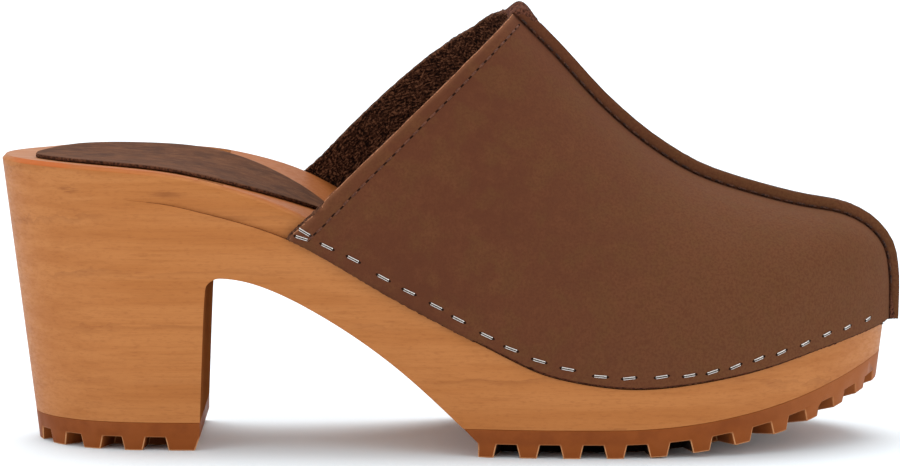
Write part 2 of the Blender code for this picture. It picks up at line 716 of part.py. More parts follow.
def main():
    for leftover in list(bpy.data.objects):
        bpy.data.objects.remove(leftover)
    clog, cutters = new_collection("clog"), new_collection("cutters")
    wood = material("oiled_alder", OILED_ALDER, 0.45)
    leather = material("brown_nubuck", BROWN_LEATHER, 0.85)
    sock = material("heel_sock_leather", PAD_LEATHER, 0.8)
    rubber = material("gum_rubber", GUM_RUBBER, 0.5)
    steel = material("staple_wire", STEEL_WIRE, 0.3, 1.0)

    block = bpy.data.objects.new("sole_block", make_block())
    forefoot = bpy.data.objects.new("outsole_forefoot", make_forefoot())
    heel = bpy.data.objects.new("outsole_heel", make_heel())
    add_cut(forefoot, make_cutter("forefoot_notches", cut_fore_lugs, cutters))
    add_cut(forefoot, make_cutter("forefoot_slots", cut_slots(FORE_SLOTS), cutters))
    add_cut(heel, make_cutter("heel_notches", cut_heel_lugs, cutters))
    add_cut(heel, make_cutter("heel_slots", cut_slots(HEEL_SLOTS), cutters))
    finishes = {block: wood, forefoot: rubber, heel: rubber, make_upper(): leather, make_pad(): sock}
    for side in (LATERAL, MEDIAL):
        for number, (point, along) in enumerate(staple_points(side), 1):
            staple = make_staple(f"staple_{side_name(side)}_{number:02d}", point, along)
            for owner in list(staple.users_collection):
                owner.objects.unlink(staple)
            finishes[staple] = steel

    carrier = bpy.data.objects.new("clog_carrier", None)
    clog.objects.link(carrier)
    for part, finish in finishes.items():
        clog.objects.link(part)
        part.data.materials.append(finish)
        smooth_shaded(part.data)
        part.parent = carrier
    for cutter in cutters.objects:
        cutter.parent = carrier
    centre_on_floor(list(finishes), carrier)


main()
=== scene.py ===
import json
import math
import random

import bpy
from mathutils import Matrix, Vector
from mathutils.bvhtree import BVHTree
from mathutils.kdtree import KDTree

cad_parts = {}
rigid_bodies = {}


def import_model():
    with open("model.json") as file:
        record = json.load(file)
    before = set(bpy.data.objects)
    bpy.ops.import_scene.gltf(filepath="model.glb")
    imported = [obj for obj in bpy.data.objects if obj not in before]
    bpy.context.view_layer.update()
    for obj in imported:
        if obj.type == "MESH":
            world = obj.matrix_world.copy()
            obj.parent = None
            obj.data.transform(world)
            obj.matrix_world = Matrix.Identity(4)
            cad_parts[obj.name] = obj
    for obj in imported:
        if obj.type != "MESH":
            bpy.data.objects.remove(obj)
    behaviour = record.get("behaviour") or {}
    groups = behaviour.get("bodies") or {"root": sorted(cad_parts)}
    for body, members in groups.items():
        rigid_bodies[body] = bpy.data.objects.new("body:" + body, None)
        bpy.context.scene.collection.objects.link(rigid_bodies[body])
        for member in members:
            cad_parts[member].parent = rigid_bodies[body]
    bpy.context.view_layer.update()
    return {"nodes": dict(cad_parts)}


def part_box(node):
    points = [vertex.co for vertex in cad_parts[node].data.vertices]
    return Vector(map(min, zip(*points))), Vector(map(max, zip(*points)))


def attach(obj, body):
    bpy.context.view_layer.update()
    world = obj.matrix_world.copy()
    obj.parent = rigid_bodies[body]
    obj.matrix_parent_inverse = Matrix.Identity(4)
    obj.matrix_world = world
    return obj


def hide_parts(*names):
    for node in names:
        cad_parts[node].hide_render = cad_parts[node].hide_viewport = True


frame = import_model()
mm = 0.001
print("frame loaded,", len(frame["nodes"]), "nodes")


def pick(piece):
    bpy.ops.object.select_all(action="DESELECT")
    piece.select_set(True)
    bpy.context.view_layer.objects.active = piece


def openMesh(piece, kind):  # edit mode, nothing selected
    pick(piece)
    bpy.ops.object.mode_set(mode="EDIT")
    bpy.ops.mesh.select_mode(type=kind)
    bpy.ops.mesh.select_all(action="DESELECT")


def closeMesh():
    bpy.ops.object.mode_set(mode="OBJECT")


def openOn(piece, kind, wanted):  # edit mode with the wanted numbers of that kind selected
    openMesh(piece, kind)
    closeMesh()
    parts = {"VERT": piece.data.vertices, "EDGE": piece.data.edges, "FACE": piece.data.polygons}[kind]
    for number in wanted:
        parts[number].select = True
    bpy.ops.object.mode_set(mode="EDIT")


plainForm = {"merge": 0.001 * mm, "faceAngle": 60, "shapeAngle": 80}


def copyNode(node, pieceName):  # a merged copy of a CAD solid, back in quads
    pick(frame["nodes"][node])
    bpy.ops.object.duplicate()
    piece = bpy.context.object
    piece.name = piece.data.name = pieceName
    for note in list(piece.keys()):
        del piece[note]
    piece.data.materials.clear()
    openMesh(piece, "VERT")
    bpy.ops.mesh.select_all(action="SELECT")
    bpy.ops.mesh.remove_doubles(threshold=plainForm["merge"])
    bpy.ops.mesh.tris_convert_to_quads(face_threshold=math.radians(plainForm["faceAngle"]),
                                       shape_threshold=math.radians(plainForm["shapeAngle"]))
    closeMesh()
    return piece


def creaseSharp(piece, angle, crease):
    openMesh(piece, "EDGE")
    bpy.ops.mesh.edges_select_sharp(sharpness=math.radians(angle))
    bpy.ops.mesh.mark_sharp()
    bpy.ops.transform.edge_crease(value=crease)
    closeMesh()


def roundForm(piece, levels):
    pick(piece)
    form = piece.modifiers.new("roundForm", "SUBSURF")
    form.levels = form.render_levels = levels
    bpy.ops.object.modifier_apply(modifier=form.name)


def softShade(piece, angle):
    pick(piece)
    bpy.ops.object.shade_smooth_by_angle(angle=math.radians(angle), keep_sharp_edges=False)


def setOnShoe(piece, nodes=()):
    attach(piece, "root")
    if nodes:
        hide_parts(*nodes)


def linear(red, green, blue):  # a colour as a paint program shows it
    shares = [c / 255 for c in (red, green, blue)]
    return (*[s / 12.92 if s <= 0.04045 else ((s + 0.055) / 1.055) ** 2.4 for s in shares], 1.0)


class Finish:  # one material and its nodes
    def __init__(self, name, roughness, specular):
        self.material = bpy.data.materials.new(name)
        self.material.use_nodes = True
        self.nodes = self.material.node_tree.nodes
        self.shader = self.nodes["Principled BSDF"]
        self.shader.inputs["Roughness"].default_value = roughness
        self.shader.inputs["Specular IOR Level"].default_value = specular
        self.place = self.add("ShaderNodeTexCoord").outputs["Object"]

    def add(self, kind, values=None, **settings):
        node = self.nodes.new(kind)
        for key, value in settings.items():
            setattr(node, key, value)
        for key, value in (values or {}).items():
            self.put(node.inputs[key], value)
        return node

    def put(self, socket, value):
        if isinstance(value, bpy.types.NodeSocket):
            self.material.node_tree.links.new(value, socket)
        else:
            socket.default_value = value

    def stretched(self, scale, turn=(0, 0, 0), move=(0, 0, 0)):
        node = self.add("ShaderNodeMapping", {"Vector": self.place})
        node.inputs["Scale"].default_value = scale
        node.inputs["Rotation"].default_value = turn
        node.inputs["Location"].default_value = move
        return node.outputs["Vector"]

    def noise(self, scale, detail=3.0, rough=0.55, place=None, distortion=0.0):
        values = {"Vector": place or self.place, "Scale": scale, "Detail": detail,
                  "Roughness": rough, "Distortion": distortion}
        return self.add("ShaderNodeTexNoise", values).outputs["Fac"]

    def ramp(self, value, low, high, bottom=0.0, top=1.0):
        node = self.add("ShaderNodeMapRange", {"Value": value, "From Min": low, "From Max": high,
                                               "To Min": bottom, "To Max": top})
        node.interpolation_type = "SMOOTHSTEP"
        return node.outputs["Result"]

    def math(self, job, first, second=0.0):
        return self.add("ShaderNodeMath", {0: first, 1: second}, operation=job).outputs["Value"]

    def mix(self, share, first, second):
        node = self.add("ShaderNodeMix", data_type="RGBA")
        self.put(node.inputs["Factor"], share)
        self.put(node.inputs[6], first)  # the colour sockets
        self.put(node.inputs[7], second)
        return node.outputs[2]

    def own(self, name):  # an attribute that the mesh carries
        return self.add("ShaderNodeAttribute", attribute_name=name).outputs["Fac"]

    def bump(self, height, strength, distance, under=None):
        node = self.add("ShaderNodeBump", {"Height": height, "Strength": strength, "Distance": distance})
        if under:
            self.put(node.inputs["Normal"], under)
        return node.outputs["Normal"]

    def wear(self, colour=None, roughness=None, normal=None):
        for key, value in (("Base Color", colour), ("Roughness", roughness), ("Normal", normal)):
            if value is not None:
                self.put(self.shader.inputs[key], value)
        return self.material


# studio: white sweep, soft light, camera where the photograph was taken from
studio = {
    "aim": (-0.46 * mm, -0.07 * mm, 57 * mm), "distance": 1.5, "lookDown": 6.2,
    "lens": 214.56, "sensor": 36, "clip": 0.05,
    "sky": 0.85, "floorSize": 24.0, "paper": (0.85, 0.925, 0.975),  # cool, against the wood's glow
    "key": {"kind": "SUN", "place": (-0.1, 0.62, 1.45), "power": 2.1},
    "left": {"kind": "AREA", "place": (-1.9, -1.5, 0.4), "size": 1.4, "power": 17.0},
    "right": {"kind": "AREA", "place": (2.0, -1.3, 0.4), "size": 1.4, "power": 20.0},
    "softness": 50,  # degrees of the key light
}


def makeStudio():
    scene = bpy.context.scene
    scene.view_settings.view_transform = "Standard"
    tilt = math.radians(studio["lookDown"])
    aim = Vector(studio["aim"])
    back = Vector((0, -math.cos(tilt), math.sin(tilt))) * studio["distance"]
    bpy.ops.object.camera_add(location=aim + back, rotation=(math.pi / 2 - tilt, 0, 0))
    camera = bpy.context.object
    camera.name = "photoCamera"
    camera.data.lens = studio["lens"]
    camera.data.sensor_width = studio["sensor"]
    camera.data.clip_start = studio["clip"]
    scene.camera = camera
    for name in ("key", "left", "right"):
        lamp = studio[name]
        facing = (aim - Vector(lamp["place"])).to_track_quat("-Z", "Y").to_euler()
        bpy.ops.object.light_add(type=lamp["kind"], location=lamp["place"], rotation=facing)
        light = bpy.context.object
        light.name = name + "Light"
        light.data.energy = lamp["power"]
        if lamp["kind"] == "SUN":
            light.data.angle = math.radians(studio["softness"])
        else:
            light.data.size = lamp["size"]
    sky = bpy.data.worlds.new("whiteSweep")
    sky.use_nodes = True
    sky.node_tree.nodes["Background"].inputs["Color"].default_value = (1, 1, 1, 1)
    sky.node_tree.nodes["Background"].inputs["Strength"].default_value = studio["sky"]
    scene.world = sky
    bpy.ops.mesh.primitive_plane_add(size=studio["floorSize"])
    floor = bpy.context.object
    floor.name = "paleFloor"
    paper = Finish("whitePaper", 0.9, 0.1)
    grain = paper.ramp(paper.noise(3.0), 0.3, 0.7, 0.99, 1.0)
    floor.data.materials.append(paper.wear(paper.mix(grain, (0, 0, 0, 1), (*studio["paper"], 1))))
    print("studio ready")


makeStudio()


# leather finishes
nubuck = {"mid": linear(91, 51, 31), "deep": linear(82, 44, 27), "pale": linear(101, 61, 39),
          # toe and toeRun: the leather is lightened towards the toe as painted light
          "toe": linear(99, 63, 38), "olive": linear(92, 59, 32), "worn": linear(138, 91, 63),
          # shade: painted shade laid on the leather beside the seam's valley
          "shade": linear(48, 25, 15), "toeRun": (0.0, 100 * mm)}
flesh = {"deep": linear(22, 11, 7), "mid": linear(64, 37, 25), "pale": linear(122, 80, 57)}
rawLeather = {"deep": linear(34, 18, 12), "pale": linear(104, 66, 46)}
rawSeam = {"deep": linear(50, 25, 17), "pale": linear(104, 63, 47)}
wornEdge = {"deep": linear(112, 70, 48), "pale": linear(172, 118, 86)}
# underEdge: the raw lower cut edge, darkened near black with painted shade from its overhang
underEdge = {"deep": linear(40, 16, 8), "pale": linear(86, 43, 25)}
# seamGap: the sunk valley's own faces, painted near black as painted shade
seamGap = {"deep": linear(38, 19, 11), "pale": linear(78, 42, 26)}


def nubuckFinish():
    finish = Finish("brownNubuck", 0.9, 0.12)
    cloud = finish.noise(26, 3, 0.5)
    patch = finish.noise(260, 4, 0.6)
    nap = finish.noise(1500, 4, 0.65)
    along = finish.add("ShaderNodeSeparateXYZ", {"Vector": finish.place}).outputs["X"]
    tone = finish.mix(finish.ramp(cloud, 0.3, 0.7, 0.25, 0.85), nubuck["deep"], nubuck["mid"])
    # painted light: the leather is lightened and turned more olive towards the toe, where more light falls
    tone = finish.mix(finish.ramp(along, *nubuck["toeRun"], 0.0, 0.8), tone, nubuck["toe"])
    tone = finish.mix(finish.ramp(finish.noise(110, 4, 0.6), 0.45, 0.62, 0.0, 0.5), tone, nubuck["olive"])
    tone = finish.mix(finish.ramp(patch, 0.4, 0.7, 0.0, 0.4), tone, nubuck["pale"])
    tone = finish.mix(finish.ramp(nap, 0.4, 0.65, 0.0, 0.6), tone, nubuck["deep"])
    tone = finish.mix(finish.ramp(finish.own("edgeWear"), 0.1, 1.0, 0.0, 0.3), tone, nubuck["worn"])
    # painted shade: the leather darkens towards the seam's sunk valley
    tone = finish.mix(finish.ramp(finish.own("valley"), 0.2, 1.0, 0.0, 0.7), tone, nubuck["shade"])
    relief = finish.bump(patch, 0.08, 0.5 * mm)
    relief = finish.bump(nap, 0.3, 0.15 * mm, relief)
    return finish.wear(tone, finish.ramp(patch, 0.3, 0.7, 0.85, 0.95), relief)


def fleshFinish():
    finish = Finish("fleshSide", 0.95, 0.05)
    tufts = finish.noise(950, 4, 0.7, distortion=1.2)
    # painted light and shade: points that stand out, and the noise's high parts that also raise the bump, are
    # painted paler, and hollows darker
    lumps = finish.math("MULTIPLY", finish.own("tuft"), 0.7)
    high = finish.math("ADD", lumps, finish.ramp(tufts, 0.32, 0.68, -0.35, 0.6))
    tone = finish.mix(finish.ramp(high, 0.1, 0.5), flesh["deep"], flesh["mid"])
    tone = finish.mix(finish.ramp(high, 0.55, 1.0), tone, flesh["pale"])
    return finish.wear(tone, None, finish.bump(tufts, 0.8, 0.4 * mm))


def fibreFinish(name, tones):
    finish = Finish(name, 0.92, 0.1)
    fibre = finish.noise(1500, 4, 0.7)
    tone = finish.mix(finish.ramp(fibre, 0.36, 0.62), tones["deep"], tones["pale"])
    return finish.wear(tone, None, finish.bump(fibre, 0.8, 0.35 * mm))


# the upper: two halves of leather with a raised seam over the foot
grainSide, fleshSide, cutEdge, seamSide, gapFace, wornFace, underFace, rawEnd = range(8)  # its material slots
upperLook = {
    "sharpAngle": 38, "cutCrease": 0.8, "levels": 2, "shadeAngle": 50,
    "insideSpot": (45 * mm, 2 * mm, 45 * mm), "outsideSpot": (30 * mm, 300 * mm, 60 * mm),
    "seamStart": (15.8 * mm, 0.0), "seamEnd": (121.3 * mm, 4.0 * mm), "seamReach": 3.0 * mm,
    "seamGroove": 0.9 * mm, "gap": 0.4 * mm, "gapDepth": 0.7 * mm, "valleyReach": 0.9 * mm,
    "seamHalf": 2.3 * mm, "seamFlat": 0.75, "endHeight": 0.5 * mm,
    "horn": (0.1 * mm, 0, 1.2 * mm), "hornReach": 6 * mm,
    "farRise": (-0.1 * mm, 0, 0.9 * mm), "farReach": (3 * mm, 15 * mm), "farStart": 3 * mm,
    "rawTop": (3.7 * mm, 10 * mm), "rawToe": (1.4 * mm, 8 * mm),
    "collarEnd": 20 * mm, "collarEdge": 0.2 * mm, "wearReach": 0.9 * mm,
    "skive": 1.0 * mm, "skiveEnd": -36 * mm,
    "facesDown": -0.3,  # a cut face of the lower edge looks down more than this
    "facesUp": 0.2,  # and one of the collar looks up more than this
    "settleEnd": 6 * mm, "settle": 0.32 * mm, "underEdge": 0.28 * mm,
    "bites": (6 * mm, 22 * mm, 0.35 * mm), "wander": 0.14 * mm, "rag": 0.2 * mm,
    "tuftEnd": 45 * mm, "fuzz": 0.2 * mm, "shakeOut": 0.8,
    "seeds": {"fuzz": 6, "wander": 8, "rag": 9, "bites": 12},
}


def seamAcross(along):  # the seam's upright plane
    (x0, y0), (x1, y1) = upperLook["seamStart"], upperLook["seamEnd"]
    return y0 + (y1 - y0) * (along - x0) / (x1 - x0)


def paintFaces(piece, faces, slotNumber, spread):
    openOn(piece, "FACE", faces)
    if spread:
        bpy.ops.mesh.select_linked(delimit={"SHARP"})
    piece.active_material_index = slotNumber
    bpy.ops.object.material_slot_assign()
    closeMesh()


def nearestFace(piece, point):
    return min(piece.data.polygons, key=lambda face: (face.center - Vector(point)).length).index


def makeUpper():
    upper = copyNode("upper", "upperLeather")
    for leather in (nubuckFinish(), fleshFinish(), fibreFinish("cutLeather", rawLeather)):
        upper.data.materials.append(leather)
    upper.data.materials.append(upper.data.materials[grainSide])  # the seam's sides, nubuck too
    fibres = {"seamGap": seamGap, "wornEdge": wornEdge, "underEdge": underEdge, "rawSeam": rawSeam}
    for name, tones in fibres.items():
        upper.data.materials.append(fibreFinish(name, tones))
    creaseSharp(upper, upperLook["sharpAngle"], upperLook["cutCrease"])
    paintFaces(upper, range(len(upper.data.polygons)), cutEdge, False)
    paintFaces(upper, [nearestFace(upper, upperLook["insideSpot"])], fleshSide, True)
    x, y, z = upperLook["outsideSpot"]
    paintFaces(upper, [nearestFace(upper, (x, side * y, z)) for side in (-1, 1)], grainSide, True)
    seamSides = [face.index for face in upper.data.polygons
                 if abs(face.normal.y) > upperLook["seamFlat"] and face.material_index == cutEdge
                 and abs(face.center.y - seamAcross(face.center.x)) < upperLook["seamReach"]]
    paintFaces(upper, seamSides, seamSide, True)
    areas = [sum(f.area for f in upper.data.polygons if f.material_index == kind) * 1e4
             for kind in (grainSide, fleshSide, cutEdge, seamSide)]
    print("upper areas in cm2: outside %.1f, flesh %.1f, cut edges %.1f, seam sides %.1f" % tuple(areas))
    kinds = kindsByVertex(upper)
    seamEdges = [edge.index for edge in upper.data.edges if all(seamSide in kinds[v] for v in edge.vertices)]
    openOn(upper, "EDGE", seamEdges)
    bpy.ops.transform.edge_crease(value=1.0)
    closeMesh()
    peak = max((v.co for v in upper.data.vertices), key=lambda place: place.z).copy()
    openOn(upper, "EDGE", [e.index for e in upper.data.edges if all(
        abs(upper.data.vertices[v].co.z - peak.z) < upperLook["endHeight"] for v in e.vertices)])
    bpy.ops.transform.edge_crease(value=-1.0)  # the seam's end is round
    closeMesh()
    openOn(upper, "VERT", [v for v, near in kinds.items() if near == {cutEdge}])
    bpy.ops.transform.shrink_fatten(value=-upperLook["seamGroove"])
    closeMesh()
    roundForm(upper, upperLook["levels"])
    raiseHorn(upper)
    # the seam's valley is sunk, and its faces are painted near black as painted shade
    trimEdges(upper, grainSide, seamSide, lambda face: True, upperLook["gap"], 2, gapFace)
    openOn(upper, "VERT", [v for v, near in kindsByVertex(upper).items() if near == {gapFace}])
    bpy.ops.transform.shrink_fatten(value=-upperLook["gapDepth"])
    closeMesh()
    bareEnds(upper, peak)
    openOn(upper, "FACE", [f.index for f in upper.data.polygons if f.material_index == cutEdge
                           and f.normal.z < upperLook["facesDown"] and f.center.x < upperLook["settleEnd"]])
    bpy.ops.transform.translate(value=(0, 0, -upperLook["settle"]))  # the back half lies on the wood
    closeMesh()
    skiveCollar(upper)
    # the lower cut edge ahead of the arch gets a bevel painted near black: a raw edge with painted shade
    # under its overhang
    trimEdges(upper, grainSide, cutEdge, atFront, upperLook["underEdge"], 1, underFace)
    roughen(upper)
    trimEdges(upper, grainSide, cutEdge, atCollar, upperLook["collarEdge"], 1, wornFace)
    softShade(upper, upperLook["shadeAngle"])
    return upper


def raiseHorn(upper):  # the seam's end stands up at the collar
    peak = max((v.co for v in upper.data.vertices), key=lambda place: place.z).copy()
    across = [v.co.y - seamAcross(v.co.x) for v in upper.data.vertices]
    openOn(upper, "VERT", [i for i, y in enumerate(across) if y < -upperLook["seamHalf"]])
    bpy.ops.mesh.hide(unselected=False)  # the outer half keeps its corner
    closeMesh()
    nearest, farthest = upperLook["farReach"]
    kinds = kindsByVertex(upper)
    end = [v.index for v in upper.data.vertices if v.co.z > peak.z - upperLook["endHeight"]]
    far = [v.index for v in upper.data.vertices if across[v.index] > upperLook["farStart"]
           and cutEdge in kinds[v.index] and nearest < (v.co - peak).length < farthest]
    for chosen, move in ((end, "horn"), (far, "farRise")):
        openOn(upper, "VERT", chosen)
        bpy.ops.transform.translate(
            value=upperLook[move], use_proportional_edit=True, use_proportional_connected=True,
            proportional_edit_falloff="SMOOTH", proportional_size=upperLook["hornReach"])
        closeMesh()
    openMesh(upper, "VERT")
    bpy.ops.mesh.reveal(select=False)
    closeMesh()


def skiveCollar(upper):  # the outer side's collar shows its cut at the bottom corner
    cut = [f for f in upper.data.polygons if f.material_index == cutEdge and atCollar(f)
           and f.center.y < 0 and f.center.x < upperLook["skiveEnd"]]
    kinds = kindsByVertex(upper)
    openOn(upper, "VERT", {v for f in cut for v in f.vertices if grainSide in kinds[v]})
    bpy.ops.transform.translate(value=(upperLook["skive"], 0, 0))
    closeMesh()


def atFront(face):  # outside faces ahead of the arch, and cut ones that look down
    fits = face.material_index == grainSide or face.normal.z < upperLook["facesDown"]
    return fits and face.center.x > upperLook["settleEnd"]


def bareEnds(upper, peak):  # the seam shows raw leather at the collar, and a split one at the toe
    side = [f for f in upper.data.polygons if f.material_index == seamSide]
    toe = min((f.center for f in side), key=lambda place: place.z).copy()
    top = nearTo(upper, lambda f: f.material_index == cutEdge and f.normal.z > -upperLook["facesDown"])
    valley = nearTo(upper, lambda f: f.material_index == gapFace)
    for end, edge, (deep, run) in ((peak, top, upperLook["rawTop"]), (toe, valley, upperLook["rawToe"])):
        openOn(upper, "FACE", [f.index for f in upper.data.polygons
                               if f.material_index == seamSide and (f.center - end).length < run])
        bpy.ops.mesh.subdivide(number_cuts=2)
        closeMesh()
        raw = [f.index for f in upper.data.polygons if f.material_index == seamSide
               and edge.find(f.center)[2] < deep * (1 - (f.center - end).length / run)]
        paintFaces(upper, raw, rawEnd, False)
    raw = [f.index for f in upper.data.polygons
           if f.material_index == cutEdge and f.normal.z > upperLook["facesDown"]
           and (f.center - peak).length < upperLook["hornReach"]]
    paintFaces(upper, raw, rawEnd, False)


def atCollar(face):  # outside faces, and cut ones that look up
    fits = face.material_index == grainSide or face.normal.z > upperLook["facesUp"]
    return fits and face.center.x < upperLook["collarEnd"]


def trimEdges(piece, first, second, wanted, width, segments, slotNumber):  # bevels between two kinds of face
    openOn(piece, "EDGE", borderEdges(piece, first, second, wanted))
    bpy.ops.mesh.bevel(offset=width, segments=segments, affect="EDGES", material=slotNumber)
    closeMesh()


def borderEdges(piece, first, second, wanted):  # edges between two kinds of face
    beside = {}
    for face in piece.data.polygons:
        for key in face.edge_keys:
            beside.setdefault(key, []).append(face)
    return [edge.index for edge in piece.data.edges
            if {f.material_index for f in beside[edge.key]} == {first, second}
            and all(map(wanted, beside[edge.key]))]


def kindsByVertex(piece):  # the kinds of face round each vertex
    kinds = {}
    for face in piece.data.polygons:
        for vertex in face.vertices:
            kinds.setdefault(vertex, set()).add(face.material_index)
    return kinds


def roughen(upper):  # lumps and loose fibres inside, and cut edges that wander
    inside = [f.index for f in upper.data.polygons
              if f.material_index == fleshSide and f.center.x < upperLook["tuftEnd"]]
    openOn(upper, "FACE", inside)
    bpy.ops.mesh.subdivide(number_cuts=2)
    closeMesh()
    shake(upper, lambda near, place: near == {fleshSide} and place.x < upperLook["tuftEnd"], "fuzz")
    markTufts(upper)
    openOn(upper, "FACE", [f.index for f in upper.data.polygons if isRagged(f)])
    bpy.ops.mesh.subdivide(number_cuts=1)
    closeMesh()
    ragged = {v for f in upper.data.polygons if isRagged(f) for v in f.vertices}
    shake(upper, lambda near, place: cutEdge in near and seamSide not in near, "wander")
    openOn(upper, "VERT", ragged)
    bpy.ops.transform.vertex_random(offset=upperLook["rag"], seed=upperLook["seeds"]["rag"])
    closeMesh()
    start, end, depth = upperLook["bites"]
    openOn(upper, "VERT", [v for v in ragged if start < upper.data.vertices[v].co.x < end])
    bpy.ops.transform.vertex_random(offset=depth, seed=upperLook["seeds"]["bites"])
    closeMesh()


def isRagged(face):  # the lower edge, and the cut edges that show at the collar
    if face.material_index == underFace:
        return True
    shown = face.center.y > 0 or face.center.x < upperLook["skiveEnd"]
    low = face.normal.z < upperLook["facesDown"]
    return face.material_index == cutEdge and (low or (shown and atCollar(face)))


def shake(piece, wanted, how):  # mostly in and out of the surface
    chosen = [v for v, near in kindsByVertex(piece).items() if wanted(near, piece.data.vertices[v].co)]
    openOn(piece, "VERT", chosen)
    bpy.ops.transform.vertex_random(offset=upperLook[how], normal=upperLook["shakeOut"],
                                    seed=upperLook["seeds"][how])
    closeMesh()


# the flesh side is painted paler where it stands out and darker in hollows: painted light and shade
def markTufts(piece):  # how far each point stands out of those round it
    around = {}
    for edge in piece.data.edges:
        for a, b in (edge.vertices, reversed(edge.vertices)):
            around.setdefault(a, []).append(piece.data.vertices[b].co)
    shares = []
    for vertex in piece.data.vertices:
        middle = sum(around[vertex.index], Vector()) / len(around[vertex.index])
        shares.append(0.5 + (vertex.co - middle).dot(vertex.normal) / upperLook["fuzz"] / 2)
    piece.data.attributes.new("tuft", "FLOAT", "POINT").data.foreach_set("value", shares)


def nearTo(piece, wanted):  # for the distance to some of the faces
    marked = {v for face in piece.data.polygons if wanted(face) for v in face.vertices}
    tree = KDTree(len(marked))
    for number in marked:
        tree.insert(piece.data.vertices[number].co, number)
    tree.balance()
    return tree


def markNear(piece, name, wanted, reach):  # how near each point is to some of the faces
    tree = nearTo(piece, wanted)
    shares = [math.exp(-tree.find(v.co)[2] / reach) for v in piece.data.vertices]
    piece.data.attributes.new(name, "FLOAT", "POINT").data.foreach_set("value", shares)


upper = makeUpper()
markNear(upper, "edgeWear", lambda f: f.material_index == wornFace, upperLook["wearReach"])
# valley: nearness to the seam's valley, for the painted shade beside it
markNear(upper, "valley", lambda f: f.material_index == gapFace, upperLook["valleyReach"])
setOnShoe(upper, ["upper"])
print("upper made,", len(upper.data.polygons), "faces")


# the wooden sole
woodLook = {
    "sharpAngle": 30, "levels": 2, "shadeAngle": 25,
    "pale": linear(173, 110, 59), "mid": linear(162, 98, 47), "deep": linear(135, 76, 34),
    # front and frontShare: the heel's breast is painted darker towards front, as painted shade
    "line": linear(122, 68, 32), "front": linear(104, 56, 28), "frontShare": 0.75, "frontEnd": -60 * mm,
    "bed": linear(150, 80, 34), "backBed": linear(160, 106, 72), "bedTurn": (-112 * mm, -96 * mm),
    "rim": linear(176, 88, 33), "rimShare": (0.85, 0.3), "rimLow": 50 * mm, "rimTilt": (0.3, 0.95),
    "rimStart": (-124 * mm, -118 * mm), "rimEase": (-108 * mm, -103 * mm), "rimFade": (-88 * mm, -74 * mm),
    # step: tones for the rebate's narrow step, painted dark as painted shade
    "step": {"deep": linear(112, 64, 32), "pale": linear(150, 92, 48)}, "stepStart": -86 * mm,
    "backEnd": -100 * mm, "faceUp": 0.75, "faceAhead": 0.7,
    "bedFace": 1.5e-5,  # a bed face is larger than this, a rebate's is smaller
    "lean": 0.15,  # the growth layers rise towards the inner side
    "markShape": (0.4, 0.5, 1.4),
    "marks": ((-118.0, -14.0, 75.0, 2.2, 0.6),  # place and size in mm, and depth
              (-105.0, -27.0, 72.0, 3.4, 0.8),
              (-78.0, -32.0, 71.0, 4.2, 0.6)),
}


def woodFinish(name, onRim, specular=0.15, shade=0.0):
    finish = Finish(name, 0.55, specular)
    streak = finish.noise(1500, 3, 0.6, finish.stretched((0.03, 0.3, 1)))
    fleck = finish.noise(2600, 2, 0.5, finish.stretched((0.22, 0.4, 1)))
    band = finish.noise(260, 3, 0.55, finish.stretched((0.03, 0.3, 1)))
    layers = finish.stretched((0.1, 1, 1), (math.atan(woodLook["lean"]), 0, 0))
    waves = {"Vector": layers, "Scale": 21.0, "Distortion": 1.2, "Detail": 2.0, "Detail Scale": 20.0}
    rings = finish.add("ShaderNodeTexWave", waves, wave_type="BANDS", bands_direction="Z",
                       wave_profile="SAW").outputs["Fac"]
    faint = finish.noise(30, 2, 0.5)
    tone = finish.mix(finish.ramp(band, 0.35, 0.68, 0.0, 0.8), woodLook["pale"], woodLook["mid"])
    tone = finish.mix(finish.ramp(streak, 0.42, 0.8, 0.0, 0.35), tone, woodLook["deep"])
    tone = finish.mix(finish.ramp(fleck, 0.5, 0.75, 0.0, 0.32), tone, woodLook["deep"])
    lines = finish.math("MULTIPLY", finish.ramp(rings, 0.85, 1.0, 0.0, 0.3), finish.ramp(faint, 0.35, 0.65))
    tone = finish.mix(lines, tone, woodLook["line"])
    shape = woodLook["markShape"]
    for *spot, size, depth in woodLook["marks"]:  # small dark flecks in the heel's side
        away = finish.stretched(shape, move=[-share * at * mm for share, at in zip(shape, spot)])
        away = finish.add("ShaderNodeVectorMath", {0: away}, operation="LENGTH").outputs["Value"]
        mark = finish.ramp(away, 0.0, size * 0.6 * mm, depth, 0.0)
        mark = finish.math("MULTIPLY", mark, finish.ramp(streak, 0.35, 0.6))
        tone = finish.mix(mark, tone, woodLook["line"])
    along = finish.add("ShaderNodeSeparateXYZ", {"Vector": finish.place}).outputs["X"]
    bed = finish.mix(finish.ramp(along, *woodLook["bedTurn"]), woodLook["backBed"], woodLook["bed"])
    tone = finish.mix(finish.ramp(finish.own("bedShare"), 0.4, 0.9, 0.0, 0.6), tone, bed)
    if onRim:  # worn brighter round the heel
        worn = finish.math("MULTIPLY", finish.ramp(along, *woodLook["rimStart"]),
                           finish.ramp(along, *woodLook["rimEase"], *woodLook["rimShare"]))
        worn = finish.math("MULTIPLY", worn, finish.ramp(along, *woodLook["rimFade"], 1.0, 0.0))
        tone = finish.mix(worn, tone, woodLook["rim"])
    # painted shade: a share of the darker front colour, for the heel's breast that faces the arch
    if shade:
        tone = finish.mix(shade, tone, woodLook["front"])
    relief = finish.bump(streak, 0.1, 0.15 * mm)
    return finish.wear(tone, finish.ramp(streak, 0.3, 0.7, 0.44, 0.58), relief)


def makeWood():
    wood = copyNode("sole_block", "woodSole")
    for finish in (woodFinish("oiledAlder", False), woodFinish("wornRim", True),
                   # the rebate's step faces, painted dark brown: painted shade along the step
                   fibreFinish("rebateStep", woodLook["step"]),
                   # the heel's breast, painted darker and without specular: painted shade
                   woodFinish("heelFront", False, 0.0, woodLook["frontShare"])):
        wood.data.materials.append(finish)
    markBed(wood)
    creaseSharp(wood, woodLook["sharpAngle"], 1.0)
    roundForm(wood, woodLook["levels"])
    softShade(wood, woodLook["shadeAngle"])
    return wood


